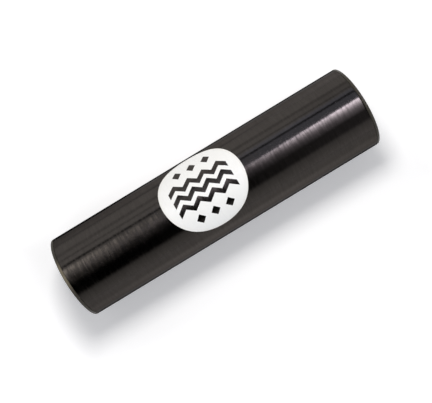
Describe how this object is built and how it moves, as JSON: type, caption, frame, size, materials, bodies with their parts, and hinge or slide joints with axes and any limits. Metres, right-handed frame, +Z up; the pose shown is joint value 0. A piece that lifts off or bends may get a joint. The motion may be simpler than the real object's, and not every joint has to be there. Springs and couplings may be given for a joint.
{
  "type": "percussion shaker",
  "caption": "Hand-held tube shaker: a black brushed metal tube with pressed-in end caps, a blank round badge and loose steel shot inside.",
  "frame": {"origin": "on the surface that the tube lies on, under the middle of its length", "axes": "+X along the tube to the right, +Z up through the badge, -Y towards the front"},
  "size_m": [0.167, 0.044, 0.0443],
  "materials": {
    "brushed_tube": "black anodised, brushed round the tube",
    "end_cap": "black moulded plastic, matt, with a fine grain",
    "badge": "satin white print with bare zigzag lines and diamonds, in which the black tube shows",
    "shot": "bright tumbled steel"
  },
  "bodies": {
    "shell": {"tube": "brushed_tube", "left_end_cap": "end_cap", "right_end_cap": "end_cap", "badge_disc": "badge"},
    "shot_centre": {"shot_centre_01": "shot", "shot_centre_02": "shot", "shot_centre_03": "shot", "shot_centre_04": "shot", "shot_centre_05": "shot", "shot_centre_06": "shot", "shot_centre_07": "shot", "shot_centre_08": "shot", "shot_centre_09": "shot", "shot_centre_10": "shot", "shot_centre_11": "shot", "shot_centre_12": "shot", "shot_centre_13": "shot", "shot_centre_14": "shot", "shot_centre_15": "shot", "shot_centre_16": "shot", "shot_centre_17": "shot", "shot_centre_18": "shot"},
    "shot_front": {"shot_front_01": "shot", "shot_front_02": "shot", "shot_front_03": "shot", "shot_front_04": "shot", "shot_front_05": "shot", "shot_front_06": "shot", "shot_front_07": "shot", "shot_front_08": "shot", "shot_front_09": "shot", "shot_front_10": "shot", "shot_front_11": "shot", "shot_front_12": "shot", "shot_front_13": "shot", "shot_front_14": "shot", "shot_front_15": "shot", "shot_front_16": "shot", "shot_front_17": "shot"},
    "shot_back": {"shot_back_01": "shot", "shot_back_02": "shot", "shot_back_03": "shot", "shot_back_04": "shot", "shot_back_05": "shot", "shot_back_06": "shot", "shot_back_07": "shot", "shot_back_08": "shot", "shot_back_09": "shot", "shot_back_10": "shot", "shot_back_11": "shot", "shot_back_12": "shot", "shot_back_13": "shot", "shot_back_14": "shot", "shot_back_15": "shot", "shot_back_16": "shot", "shot_back_17": "shot"}
  },
  "joints": [
    {"name": "shot_slide", "type": "slide", "parent": "shell", "child": "shot_centre", "axis": [1, 0, 0], "range_m": [-0.0303, 0.0303]},
    {"name": "front_row_swing", "type": "hinge", "parent": "shot_centre", "child": "shot_front", "pos_m": [0, 0, 0.022], "axis": [-1, 0, 0], "range_deg": [0, 90]},
    {"name": "back_row_swing", "type": "hinge", "parent": "shot_centre", "child": "shot_back", "pos_m": [0, 0, 0.022], "axis": [1, 0, 0], "range_deg": [0, 90]}
  ]
}
